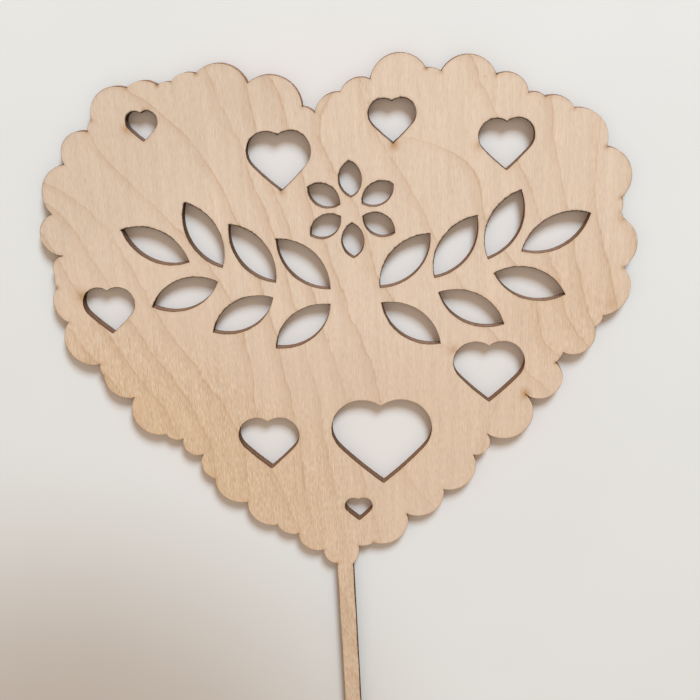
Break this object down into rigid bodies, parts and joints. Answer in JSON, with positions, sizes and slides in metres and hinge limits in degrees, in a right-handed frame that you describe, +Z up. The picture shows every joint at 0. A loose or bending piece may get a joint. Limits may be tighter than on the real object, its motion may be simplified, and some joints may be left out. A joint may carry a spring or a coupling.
{
  "type": "cake topper",
  "caption": "Flat heart-shaped plywood cake topper with a scalloped edge, heart and leaf cut-outs, and a pointed stick that pushes into a cake.",
  "frame": {"origin": "middle of the stick's section where it enters the cake, 30 mm below the plate", "axes": "+Z up along the stick towards the heart, +X to the right seen from the front, -Y out of the front face"},
  "size_m": [0.1609, 0.003, 0.248],
  "materials": {
    "face_birch": "sanded birch face veneer, upright grain, unfinished, charred on the laser-cut edge",
    "core_birch": "birch core veneer with its grain across, charred on the laser-cut edge",
    "glue": "cured brown resin film"
  },
  "bodies": {
    "root": {"front_veneer": "face_birch", "front_glue_line": "glue", "core_veneer": "core_birch", "back_glue_line": "glue", "back_veneer": "face_birch"}
  },
  "joints": []
}
